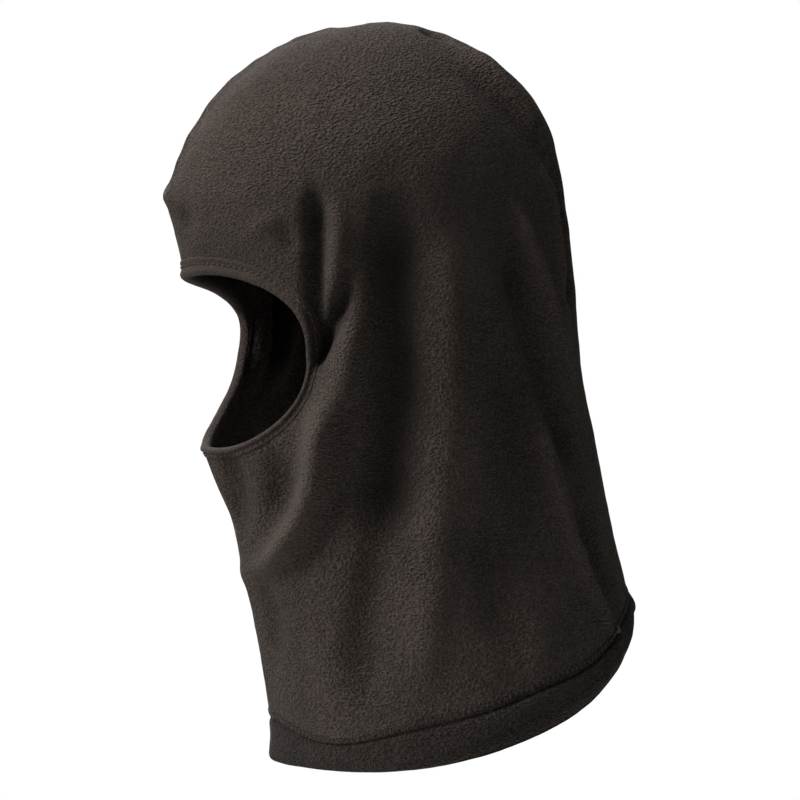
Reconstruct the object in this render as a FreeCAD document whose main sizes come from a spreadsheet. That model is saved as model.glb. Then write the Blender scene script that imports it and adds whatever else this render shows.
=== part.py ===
"""Fleece balaclava, stored as a head holds it.

Frame: the face looks along -Y, the wearer's left is +X, up is +Z. The origin is the centre of the head
at its widest level, so everything below the brow has a negative height. Millimetres throughout.
"""

import FreeCAD, Part

import math
import os

import Sketcher
from FreeCAD import Placement, Rotation, Vector

# Driving dimensions: alias, value in millimetres or as a plain number, meaning.
DIMENSIONS = [
    ("cloth", 2.4, "thickness of the brushed fleece"),
    ("crown_rise", 92.0, "crown above the widest level"),
    ("binding_width", 10.0, "face binding, rim to outer edge"),
    ("binding_cloth", 1.2, "binding fabric on each side of the hood's edge"),
    ("binding_fold", 5.0, "rim of the binding to the hood's cut edge"),
    ("elastic_inset", 1.2, "rim of the binding to the elastic"),
    ("elastic_width", 3.0, "elastic across the channel"),
    ("elastic_cover", 0.5, "elastic below the hood's two surfaces"),
    ("rim_middle", -82.5, "height of the face opening's widest line"),
    ("rim_half_width", 56.0, "face opening, half its width"),
    ("rim_half_height", 42.5, "face opening, half its height"),
    ("rim_top_fullness", 3.0, "how square the opening's upper corners are"),
    ("rim_base_fullness", 2.2, "how square the opening's lower corners are"),
    ("rim_taper", 0.14, "how much narrower the opening's base is than its top"),
    ("hem_arc_radius", 287.5, "the hem line is an arc in side view"),
    ("hem_arc_back", -45.0, "hem arc's centre, front to back"),
    ("hem_arc_height", 0.6, "hem arc's centre, height"),
    ("hem_depth", 20.0, "depth of the doubled hem band"),
    ("hem_bulge", 1.0, "how far the doubled band stands proud outside"),
    ("hem_inner_layer", 1.6, "how far the doubled band stands proud inside"),
    ("allowance_depth", 6.0, "seam allowance inside the crown and back"),
    ("thread", 0.6, "diameter of the sewing thread"),
    ("thread_air", 0.2, "air between a thread and the cloth under it"),
    ("topstitch_inset", 7.0, "binding topstitch, from the rim"),
    ("topstitch_pitch", 3.2, "binding topstitch, stitch to stitch"),
    ("topstitch_length", 2.4, "one stitch of the binding topstitch"),
    ("hem_bar_pitch", 3.0, "thread bars over the hem seam"),
    ("hem_bar_length", 5.0, "one bar over the hem seam"),
    ("hem_loop_pitch", 6.0, "overlock loops on the inside of the hem"),
    ("overlock_pitch", 4.0, "overlock loops along the crown and back seam"),
    ("tack_length", 4.0, "one bar of a bartack"),
    ("tack_pitch", 0.9, "bartack, bar to bar"),
    ("tack_count", 5, "bars in a bartack"),
    ("label_width", 24.0, "care label across"),
    ("label_drop", 34.0, "care label, sewn edge to free edge"),
    ("label_thickness", 0.5, "woven label tape"),
    ("label_corner", 1.5, "care label's free corners"),
    ("label_top", -138.0, "height of the label's sewn edge"),
    ("label_air", 1.4, "label to the seam allowance behind it"),
    ("label_stitch_count", 6, "stitches along the label's sewn edge"),
    ("label_stitch_length", 2.6, "one stitch of the label's row"),
]

# Levels of the hood below the crown: height, front fold, centre back, half width, height-wise fullness
# of the front half (2 is an ellipse, less is more pointed at the fold).
LEVEL_WORDS = ("height", "front", "back", "half_width", "fullness")
LEVELS = {
    "seat": (0.0, -105.4, 102.6, 81.0, 2.0),
    "brow": (-40.0, -97.2, 109.0, 81.5, 1.75),
    "cheek": (-85.0, -92.7, 113.5, 81.0, 1.58),
    "chin": (-127.0, -87.0, 121.0, 79.0, 1.62),
    "throat": (-165.0, -72.5, 129.5, 80.0, 1.75),
    "collar": (-206.0, -62.9, 140.0, 84.0, 1.85),
    "skirt": (-258.0, -51.5, 150.0, 88.0, 1.9),
    "below_hem": (-306.0, -43.0, 158.0, 90.0, 1.9),
}
SKIRT_SECTIONS = 16    # loft sections from the seat to the level below the hem
HALF_POINTS = 12       # steps along one half of a section, front fold to centre back
BACK_STEPS = 24        # steps of the centre back seam, seat to below the hem
RIM_POINTS = 36        # points of the face opening's closed curve
FAR = 400.0            # longer than the hood, for cutting shapes

doc = FreeCAD.newDocument("balaclava")
sheet = doc.addObject("Spreadsheet::Sheet", "Sizes")


def fill_sheet():
    rows = [(alias, value, meaning) for alias, value, meaning in DIMENSIONS]
    for level, values in LEVELS.items():
        rows += [(f"{level}_{word}", v, f"{level} level") for word, v in zip(LEVEL_WORDS, values)]
    for row, (alias, value, meaning) in enumerate(rows, start=1):
        sheet.set(f"A{row}", meaning)
        sheet.set(f"B{row}", str(value))
        sheet.setAlias(f"B{row}", alias)
    doc.recompute()


def size(alias):
    return float(getattr(sheet, alias))


# ---------------------------------------------------------------- the hood's surface


def level_value(word, height):
    """The level table's value at a height: a cubic through the levels with slopes from its neighbours."""
    column = [(size(f"{level}_height"), size(f"{level}_{word}")) for level in LEVELS]
    last = len(column) - 1
    slopes = []
    for i in range(last + 1):
        low, high = column[max(i - 1, 0)], column[min(i + 1, last)]
        slopes.append((high[1] - low[1]) / (high[0] - low[0]))
    for i in range(last):
        (z0, v0), (z1, v1) = column[i], column[i + 1]
        if height >= z1 or i == last - 1:
            span = z1 - z0
            f = (height - z0) / span
            start, end = slopes[i] * span, slopes[i + 1] * span
            return (
                v0 * (2 * f**3 - 3 * f**2 + 1)
                + start * (f**3 - 2 * f**2 + f)
                + v1 * (3 * f**2 - 2 * f**3)
                + end * (f**3 - f**2)
            )


def power(value, exponent):
    return math.copysign(abs(value) ** exponent, value)


def section_point(height, angle, growth=0.0):
    """A point of the hood's outline at a height. Angle 0 is the front fold, 90 degrees the wearer's left."""
    front = level_value("front", height) - growth
    back = level_value("back", height) + growth
    half_width = level_value("half_width", height) + growth
    middle = (front + back) / 2
    reach = (back - front) / 2
    if math.cos(angle) > 0:
        exponent = 2 / level_value("fullness", height)
        return Vector(
            half_width * power(math.sin(angle), exponent),
            middle - reach * power(math.cos(angle), exponent),
            height,
        )
    return Vector(half_width * math.sin(angle), middle - reach * math.cos(angle), height)


def seat(growth):
    """(middle, half length, half width, rise) of the crown, half an ellipsoid on the seat level."""
    front, back = size("seat_front") - growth, size("seat_back") + growth
    return (
        Vector(0, (front + back) / 2, 0), (back - front) / 2,
        size("seat_half_width") + growth, size("crown_rise") + growth,
    )


def crown_seam_point(angle, growth=0.0):
    """A point of the crown over the middle plane. Angle 0 is the forehead, 180 degrees the back."""
    middle, half_length, _, rise = seat(growth)
    return middle + Vector(0, -half_length * math.cos(angle), rise * math.sin(angle))


def front_point(x, height, growth=0.0):
    """The point of the hood's front half at a sideways place and a height."""
    front = level_value("front", height) - growth
    back = level_value("back", height) + growth
    half_width = level_value("half_width", height) + growth
    fullness = level_value("fullness", height)
    middle, reach = (front + back) / 2, (back - front) / 2
    return Vector(x, middle - reach * (1 - abs(x / half_width) ** fullness) ** (1 / fullness), height)


def rim_point(angle, growth=0.0):
    """(sideways, height) of the face opening's edge. Angle 0 is the top, 90 degrees the wearer's left."""
    top = math.cos(angle) > 0
    exponent = 2 / size("rim_top_fullness" if top else "rim_base_fullness")
    up = power(math.cos(angle), exponent)
    across = power(math.sin(angle), exponent) * (1 + size("rim_taper") * up)
    return (
        (size("rim_half_width") + growth) * across,
        size("rim_middle") + (size("rim_half_height") + growth) * up,
    )


def seam_run(growth):
    """Points of the seam in the middle plane, from the forehead over the crown and down the back."""
    lowest = size("below_hem_height")
    crown = [crown_seam_point(math.radians(a), growth) for a in range(4, 180, 4)]
    back = [section_point(lowest * i / BACK_STEPS, math.pi, growth) for i in range(BACK_STEPS + 1)]
    return crown + back


def hem_point(angle, above, growth=0.0):
    """(point, upward direction) on the hood's outline, a distance above the hem line."""
    arc = Vector(0, size("hem_arc_back"), size("hem_arc_height"))
    radius = size("hem_arc_radius") - above
    height = size("skirt_height")
    for _ in range(30):
        point = section_point(height, angle, growth)
        height = arc.z - math.sqrt(radius**2 - (point.y - arc.y) ** 2)
    point = section_point(height, angle, growth)
    return point, Vector(0, arc.y - point.y, arc.z - point.z).normalize()


def smooth_edge(points):
    """A smooth curve through points; every curve of one loft has the same knots."""
    curve = Part.BSplineCurve()
    steps = len(points) - 1
    curve.interpolate(Points=points, Parameters=[i / steps for i in range(steps + 1)])
    return curve.toShape()


def section_wire(points):
    """A section's outline: a curve on each side, meeting at the front fold and the centre back."""
    return Part.Wire([smooth_edge(points[: HALF_POINTS + 1]), smooth_edge(points[HALF_POINTS:])])


# ---------------------------------------------------------------- construction shapes, not exported


def feature(name, shape):
    made = doc.addObject("Part::Feature", name)
    made.Shape = shape
    return made


def seat_wire(growth):
    middle, half_length, half_width, _ = seat(growth)
    oval = Part.Ellipse(middle, half_length, half_width)
    halves = [Part.ArcOfEllipse(oval, start, start + math.pi).toShape() for start in (0, math.pi)]
    for half in halves:
        half.rotate(middle, Vector(0, 0, 1), -90)
    return Part.Wire(halves)


def crown(growth):
    middle, half_length, half_width, rise = seat(growth)
    half_ball = Part.makeSphere(1.0, Vector(), Vector(0, 0, 1), 0, 90, 360)
    half_ball.rotate(Vector(), Vector(0, 0, 1), -90)
    stretch = FreeCAD.Matrix()
    stretch.scale(half_width, half_length, rise)
    dome = half_ball.transformGeometry(stretch)
    dome.translate(middle)
    return dome


def envelope(name, growth):
    """The solid inside the hood's outline, grown outwards: an ellipsoid crown on a lofted skirt."""
    angles = [math.pi * k / HALF_POINTS for k in range(2 * HALF_POINTS + 1)]
    lowest = size("below_hem_height")
    sections = [seat_wire(growth)]
    for i in range(1, SKIRT_SECTIONS + 1):
        height = lowest * i / SKIRT_SECTIONS
        sections.append(section_wire([section_point(height, a, growth) for a in angles]))
    whole = crown(growth).fuse(Part.makeLoft(sections, True))
    return feature(name, whole.Solids[0])


def opening_prism(name, growth):
    """The face opening's outline, grown outwards and run through the front of the hood."""
    outline = []
    for k in range(RIM_POINTS):
        x, height = rim_point(math.tau * k / RIM_POINTS, growth)
        outline.append(Vector(x, -FAR / 2, height))
    curve = Part.BSplineCurve()
    curve.interpolate(Points=outline, PeriodicFlag=True)
    return feature(name, Part.Face(Part.Wire(curve.toShape())).extrude(Vector(0, FAR / 2, 0)))


def hem_cylinder(name, radius_expression):
    """What lies above an arc of the hem line: a cylinder along X."""
    drum = doc.addObject("Part::Cylinder", name)
    drum.setExpression("Radius", radius_expression)
    drum.Height = FAR
    drum.Placement = Placement(
        Vector(-FAR / 2, size("hem_arc_back"), size("hem_arc_height")), Rotation(Vector(0, 1, 0), 90)
    )
    return drum


def cut(name, base, tool):
    made = doc.addObject("Part::Cut", name)
    made.Base, made.Tool = base, tool
    return made


def common(name, *shapes):
    made = doc.addObject("Part::MultiCommon", name)
    made.Shapes = list(shapes)
    return made


def fuse(name, *shapes):
    made = doc.addObject("Part::MultiFuse", name)
    made.Shapes = list(shapes)
    return made


def hood_shell(outer, inner, above_band):
    """The fleece hood, open at the face and neck."""
    skin = common("hood_skin", cut("hood_layer", outer, inner), above_band)
    return cut("hood_shell", skin, opening_prism("cut_edge_prism", size("binding_fold")))


def seam_allowance(above_band):
    """The cloth's two edges standing inside the crown and centre back, down to the hem band."""
    root, tip = -size("cloth") - size("thread_air"), -size("cloth") - size("allowance_depth")
    outer_edge, inner_edge = smooth_edge(seam_run(root)), smooth_edge(seam_run(tip))
    ends = [Part.makeLine(outer_edge.Vertexes[i].Point, inner_edge.Vertexes[i].Point) for i in (0, 1)]
    side = Part.Face(Part.Wire([outer_edge, ends[1], inner_edge, ends[0]]))
    side.translate(Vector(-size("cloth"), 0, 0))
    fin = feature("allowance_fin", side.extrude(Vector(2 * size("cloth"), 0, 0)))
    return common("seam_allowance", fin, above_band)


def bottom_hem_band(above_band, above_hem):
    outside = envelope("band_outer_envelope", size("hem_bulge"))
    inside = envelope("band_inner_envelope", -size("cloth") - size("hem_inner_layer"))
    ring = common("band_ring", cut("band_layer", outside, inside), above_hem)
    return cut("bottom_hem_band", ring, above_band)


def face_elastic():
    outside = envelope("elastic_outer_envelope", -size("elastic_cover"))
    inside = envelope("elastic_inner_envelope", -size("cloth") + size("elastic_cover"))
    inset, width = size("elastic_inset"), size("elastic_width")
    ring = cut("elastic_outline", opening_prism("elastic_outer_prism", inset + width),
               opening_prism("elastic_inner_prism", inset))
    return common("face_elastic", cut("elastic_layer", outside, inside), ring)


def face_binding(shell, elastic):
    """The folded strip round the face opening, closed round the hood's cut edge and the elastic."""
    outside = envelope("binding_outer_envelope", size("binding_cloth"))
    inside = envelope("binding_inner_envelope", -size("cloth") - size("binding_cloth"))
    ring = cut("binding_outline", opening_prism("binding_outer_prism", size("binding_width")),
               opening_prism("binding_rim_prism", 0.0))
    strip = common("binding_strip", cut("binding_layer", outside, inside), ring)
    return cut("face_binding", strip, fuse("binding_filling", shell, elastic))


def care_label():
    """A blank tape flap that hangs from the seam allowance, with its free corners rounded."""
    body = doc.addObject("PartDesign::Body", "care_label")
    plane = next(p for p in body.Origin.OriginFeatures if p.Role == "XZ_Plane")
    sketch = body.newObject("Sketcher::SketchObject", "label_outline")
    sketch.AttachmentSupport = (plane, [""])
    sketch.MapMode = "FlatFace"
    half, drop = size("label_width") / 2, size("label_drop")
    corners = [Vector(-half, 0, 0), Vector(half, 0, 0), Vector(half, -drop, 0), Vector(-half, -drop, 0)]
    for i in range(4):
        sketch.addGeometry(Part.LineSegment(corners[i], corners[(i + 1) % 4]), False)
    for i in range(4):
        sketch.addConstraint(Sketcher.Constraint("Coincident", i, 2, (i + 1) % 4, 1))
    for line, direction in enumerate(("Horizontal", "Vertical", "Horizontal", "Vertical")):
        sketch.addConstraint(Sketcher.Constraint(direction, line))
    origin = -1
    sketch.addConstraint(Sketcher.Constraint("Symmetric", 0, 1, 0, 2, origin, 1))
    width = sketch.addConstraint(Sketcher.Constraint("DistanceX", 0, 1, 0, 2, 2 * half))
    length = sketch.addConstraint(Sketcher.Constraint("DistanceY", 1, 2, 1, 1, drop))
    sketch.setExpression(f"Constraints[{width}]", "Sizes.label_width")
    sketch.setExpression(f"Constraints[{length}]", "Sizes.label_drop")
    pad = body.newObject("PartDesign::Pad", "label_tape")
    pad.Profile = sketch
    pad.setExpression("Length", "Sizes.label_thickness")
    doc.recompute()
    free = -size("label_drop") + 1
    upright = [
        f"Edge{i + 1}" for i, edge in enumerate(pad.Shape.Edges)
        if all(v.Z < free for v in edge.Vertexes) and abs(edge.tangentAt(edge.FirstParameter).y) > 0.9
    ]
    rounding = body.newObject("PartDesign::Fillet", "label_corners")
    rounding.Base = (pad, upright)
    rounding.setExpression("Radius", "Sizes.label_corner")
    doc.recompute()
    sewn = [
        f"Edge{i + 1}" for i, edge in enumerate(rounding.Shape.Edges)
        if all(abs(v.Z) < 1e-6 for v in edge.Vertexes) and abs(edge.tangentAt(edge.FirstParameter).x) > 0.9
    ]
    fold = body.newObject("PartDesign::Fillet", "sewn_edge")
    fold.Base = (rounding, sewn)
    fold.setExpression("Radius", "Sizes.label_thickness / 2 - 0.001")
    allowance_edge = level_value("back", size("label_top")) - size("cloth") - size("allowance_depth")
    body.Placement = Placement(
        Vector(0, allowance_edge - size("label_air"), size("label_top")), Rotation()
    )
    return body


# ---------------------------------------------------------------- thread


def bar(middle, direction, length):
    direction = Vector(direction).normalize()
    start = middle - direction * (length / 2)
    return Part.makeCylinder(size("thread") / 2, length, start, direction)


def on_thread_height(growth):
    """The growth that puts a thread's middle just off a surface of the given growth."""
    return growth + math.copysign(size("thread") / 2 + size("thread_air"), growth)


def thread(name, bars):
    return feature(name, Part.makeCompound(bars))


def evenly(points, pitch):
    """(point, direction) at equal steps along a closed or open run of points."""
    path = Part.makePolygon(points)
    count = max(2, round(path.Length / pitch))
    spots = path.discretize(Number=count + 1)
    return [((a + b) * 0.5, b - a) for a, b in zip(spots, spots[1:])]


def face_topstitch():
    lift = on_thread_height(size("binding_cloth")) + size("thread") / 2
    run = []
    for degree in range(0, 361, 3):
        x, height = rim_point(math.radians(degree), size("topstitch_inset"))
        run.append(front_point(x, height, lift))
    return thread("face_topstitch", [
        bar(spot, along, size("topstitch_length"))
        for spot, along in evenly(run, size("topstitch_pitch"))
    ])


def hem_bars(name, growth, pitch, seam_gap=0.0):
    """Upright bars of thread that cross the hem seam on one side of the cloth, clear of the back seam."""
    above = size("hem_depth") + size("hem_bar_length") / 2 + size("thread_air")
    run = [hem_point(math.radians(a), above, growth)[0] for a in range(0, 361, 3)]
    bars = []
    for spot, _ in evenly(run, size(pitch)):
        if spot.y > 0 and abs(spot.x) < seam_gap:
            continue
        up = Vector(0, size("hem_arc_back") - spot.y, size("hem_arc_height") - spot.z)
        bars.append(bar(spot, up, size("hem_bar_length")))
    return thread(name, bars)


def crown_back_seam_thread():
    """Overlock loops: a staple of thread round the seam allowance at each step of the seam."""
    inward = -size("cloth") - size("allowance_depth")
    lowest = hem_point(math.pi, size("hem_depth"), inward)[0].z + size("overlock_pitch")
    run = [point for point in seam_run(inward) if point.z > lowest or point.y < 0]
    wire, air = size("thread"), size("thread_air")
    half_width = size("cloth") + air
    staples = []
    for spot, along in evenly(run, size("overlock_pitch")):
        along = along.normalize()
        outward = Vector(1, 0, 0).cross(along)
        if outward.dot(spot) < 0:
            outward = -outward
        frame = Rotation(Vector(1, 0, 0), outward, along, "XYZ")
        whole = Part.makeBox(2 * (half_width + wire), size("allowance_depth") - wire, wire,
                             Vector(-half_width - wire, -wire - air, -wire / 2))
        room = Part.makeBox(2 * half_width, size("allowance_depth"), 2 * wire,
                            Vector(-half_width, -air, -wire))
        staple = whole.cut(room)
        staple.Placement = Placement(spot, frame)
        staples.append(staple)
    return thread("crown_back_seam_thread", staples)


def bartack(name, middle, along, step):
    """Parallel bars of thread across the end of a seam."""
    count = int(size("tack_count"))
    step = Vector(step).normalize() * size("tack_pitch")
    return thread(name, [
        bar(middle + step * (i - (count - 1) / 2), along, size("tack_length")) for i in range(count)
    ])


def forehead_bartack():
    middle = crown_seam_point(math.radians(3), on_thread_height(size("thread_air")))
    return bartack("forehead_bartack", middle, Vector(1, 0, 0), Vector(0, 0, 1))


def hem_bartack():
    above = size("hem_depth") / 2
    middle, up = hem_point(math.pi, above, on_thread_height(size("hem_bulge")) + 2 * size("thread"))
    return bartack("hem_bartack", middle, Vector(1, 0, 0), up)


def label_stitching(label):
    """A row of stitches on the front of the label along its sewn edge, which is its hinge line."""
    count = int(size("label_stitch_count"))
    front = label.Placement.Base.y - size("label_thickness") - size("thread") / 2 - size("thread_air")
    stitch = size("label_stitch_length")
    pitch = (size("label_width") - stitch) / (count - 1)
    first = -size("label_width") / 2 + stitch / 2
    height = size("label_top") - size("thread")
    return thread("label_stitching", [
        bar(Vector(first + pitch * i, front, height), Vector(1, 0, 0), stitch * 0.8)
        for i in range(count)
    ])


# ---------------------------------------------------------------- build, test and write


def build():
    outer = envelope("outer_envelope", 0.0)
    inner = envelope("inner_envelope", -size("cloth"))
    above_hem = hem_cylinder("above_hem", "Sizes.hem_arc_radius")
    above_band = hem_cylinder("above_band", "Sizes.hem_arc_radius - Sizes.hem_depth")
    shell = hood_shell(outer, inner, above_band)
    elastic = face_elastic()
    label = care_label()
    return [
        shell,
        seam_allowance(above_band),
        elastic,
        face_binding(shell, elastic),
        bottom_hem_band(above_band, above_hem),
        face_topstitch(),
        hem_bars("hem_seam_thread", on_thread_height(size("thread_air")) + 1.7 * size("thread"), "hem_bar_pitch"),
        hem_bars(
            "hem_overlock_thread", on_thread_height(-size("cloth")) - 2.5 * size("thread"), "hem_loop_pitch",
            2 * size("cloth"),
        ),
        crown_back_seam_thread(),
        forehead_bartack(),
        hem_bartack(),
        label,
        label_stitching(label),
    ]


def test(parts):
    for item in doc.Objects:
        if {"Invalid", "Error"} & set(item.State):
            raise RuntimeError(f"{item.Name} failed: {item.State}")
    for part in parts:
        if part.Shape.isNull() or not part.Shape.isValid() or not part.Shape.Solids:
            raise RuntimeError(f"{part.Label} has no valid solid")


fill_sheet()
parts = build()
for part in parts:
    part.Label = part.Name
doc.recompute()
test(parts)
os.makedirs("parts", exist_ok=True)
for part in parts:
    part.Shape.exportStep(f"parts/{part.Label}.step")
    print(part.Label, len(part.Shape.Solids), "solid(s),", round(part.Shape.Volume), "mm3")
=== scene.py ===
"""Looks of a fleece balaclava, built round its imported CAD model.

The hood's outer surface is a smooth form given by an angle u round the head (0 at the face, a quarter turn
at the wearer's left) and a run v up the cloth (a height below the brow, an arc length over the crown).
Folds, seams and the nap's slow unevenness push that form in and out, and every other piece is laid on the
result. Shapes are worked out in millimetres and stored in metres.
"""

import math

import bpy
import numpy as np
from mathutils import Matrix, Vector


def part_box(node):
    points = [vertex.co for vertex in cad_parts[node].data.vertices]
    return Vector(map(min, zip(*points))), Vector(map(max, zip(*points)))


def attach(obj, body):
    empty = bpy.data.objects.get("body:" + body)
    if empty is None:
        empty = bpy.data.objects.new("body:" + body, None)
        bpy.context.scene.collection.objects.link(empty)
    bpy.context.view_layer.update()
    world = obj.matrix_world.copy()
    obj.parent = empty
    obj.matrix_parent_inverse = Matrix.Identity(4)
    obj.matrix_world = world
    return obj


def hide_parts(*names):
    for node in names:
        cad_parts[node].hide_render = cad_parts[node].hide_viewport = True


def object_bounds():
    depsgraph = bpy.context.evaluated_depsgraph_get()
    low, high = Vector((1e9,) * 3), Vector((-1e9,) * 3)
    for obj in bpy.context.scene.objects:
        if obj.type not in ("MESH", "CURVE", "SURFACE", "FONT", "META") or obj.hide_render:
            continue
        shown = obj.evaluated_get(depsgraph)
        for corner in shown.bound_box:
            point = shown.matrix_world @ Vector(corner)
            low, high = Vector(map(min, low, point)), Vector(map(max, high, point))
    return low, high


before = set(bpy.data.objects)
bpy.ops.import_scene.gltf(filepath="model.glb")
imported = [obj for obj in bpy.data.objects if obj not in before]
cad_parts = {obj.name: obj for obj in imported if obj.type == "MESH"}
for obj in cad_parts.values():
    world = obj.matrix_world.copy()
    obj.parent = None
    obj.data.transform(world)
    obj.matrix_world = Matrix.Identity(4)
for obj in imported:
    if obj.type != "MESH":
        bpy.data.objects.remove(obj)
CAD_LOW, CAD_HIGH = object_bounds()

MM = 0.001
TURN = 2 * math.pi

# ---------------------------------------------------------------- the hood's form

# Height, front, back, half width, pinch of the front (0 round, more is nearer to a fold).
LEVELS = np.array([
    (0, -103.0, 103.6, 81.0, 0.00),
    (-18, -100.4, 107.6, 81.2, 0.12),
    (-40, -94.2, 110.6, 81.5, 0.25),
    (-85, -90.0, 114.2, 81.0, 0.41),
    (-127, -85.0, 122.6, 79.0, 0.37),
    (-165, -69.8, 130.8, 80.0, 0.25),
    (-206, -60.6, 139.6, 84.0, 0.15),
    (-258, -50.0, 150.5, 88.0, 0.10),
    (-306, -43.0, 158.0, 90.0, 0.10),
], float)[::-1]
# Height on the crown, how far its ring leans back, how much shorter it is.
CROWN = np.array([
    (0, 0, 0), (20, 1.6, 1.6), (41, 4.0, 1.6), (62, 5.2, 1.6), (83, 6.2, 2.6), (92, 6.6, 3.4),
], float)
RISE = 91.0
CLOTH = 2.2
ROUND = 95.0                                    # mean radius of the hood, for steps along u
HEM_CENTRE = (-45.0, 0.6)
HEM_RADIUS = 289.0
HEM_SAG = 3.0                                   # the hem hangs lower towards the back
RIM_MIDDLE, RIM_HIGH = -83.0, 43.0
RIM_WIDE = {1: 57.5, -1: 49.5}                  # the wearer's left and right
RIM_TAPER = {1: 0.10, -1: 0.30}                 # how much narrower the opening's base is than its top
RIM_TOP, RIM_BASE = 3.0, 2.2
RIM_SLACK = 0.15                                # how much of a fold is left on the taut rim
RIM_LEAN = 0.09                                 # the rim is a little taller on the wearer's left


def curve(at, xs, ys):
    """A smooth curve through points, at many places."""
    slope = np.gradient(ys, xs)
    at = np.clip(at, xs[0], xs[-1])
    i = np.clip(np.searchsorted(xs, at) - 1, 0, len(xs) - 2)
    run = xs[i + 1] - xs[i]
    t = (at - xs[i]) / run
    return (
        ys[i] * (1 + 2 * t) * (1 - t) ** 2 + ys[i + 1] * t * t * (3 - 2 * t)
        + run * (slope[i] * t * (1 - t) ** 2 - slope[i + 1] * t * t * (1 - t))
    )


def ease(t):
    t = np.clip(t, 0, 1)
    return t * t * (3 - 2 * t)


def base(u, v):
    """The smooth form, with no folds."""
    # the forehead's corner is sharp at the seam and soft beside it
    loose = 0.3 + 12 * ease(np.abs(np.sin(u)) / 0.35)
    level = -loose * np.log1p(np.exp(np.clip(-v / loose, -50, 50)))
    level = np.where(v < -5 * loose, v, level)
    front, back, wide, pinch = (curve(level, LEVELS[:, 0], LEVELS[:, k]) for k in (1, 2, 3, 4))
    lean = np.clip(v, 0, None) / RISE
    z = np.where(v > 0, RISE * np.sin(lean), v)
    middle = (front + back) / 2 + curve(z, CROWN[:, 0], CROWN[:, 1])
    half = (back - front) / 2 - curve(z, CROWN[:, 0], CROWN[:, 2])
    c, s, ring = np.cos(u), np.sin(u), np.cos(lean)
    x = wide * ring * s * (1 - pinch * np.clip(c, 0, None) ** 2)
    return np.stack([x, middle - half * ring * c, z], -1)


def moved(u, v, across, up):
    """The place a few millimetres away along the cloth."""
    high = np.pi / 2 - v / RISE
    polar_a = high * np.sin(u) + across * np.cos(u) / RISE - up * np.sin(u) / RISE
    polar_b = high * np.cos(u) - across * np.sin(u) / RISE - up * np.cos(u) / RISE
    far = v > 60
    return (
        np.where(far, np.arctan2(polar_a, polar_b), u + across / ROUND),
        np.where(far, (np.pi / 2 - np.hypot(polar_a, polar_b)) * RISE, v + up),
    )


def unit(a):
    return a / np.maximum(np.linalg.norm(a, axis=-1, keepdims=True), 1e-9)


def facing(u, v, shape, step=1.5):
    """Outward direction of a shape."""
    across = shape(*moved(u, v, step, 0)) - shape(*moved(u, v, -step, 0))
    up = shape(*moved(u, v, 0, step)) - shape(*moved(u, v, 0, -step))
    return unit(np.cross(across, up))


# ---------------------------------------------------------------- folds

LEFT, RIGHT = 1, -1
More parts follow.
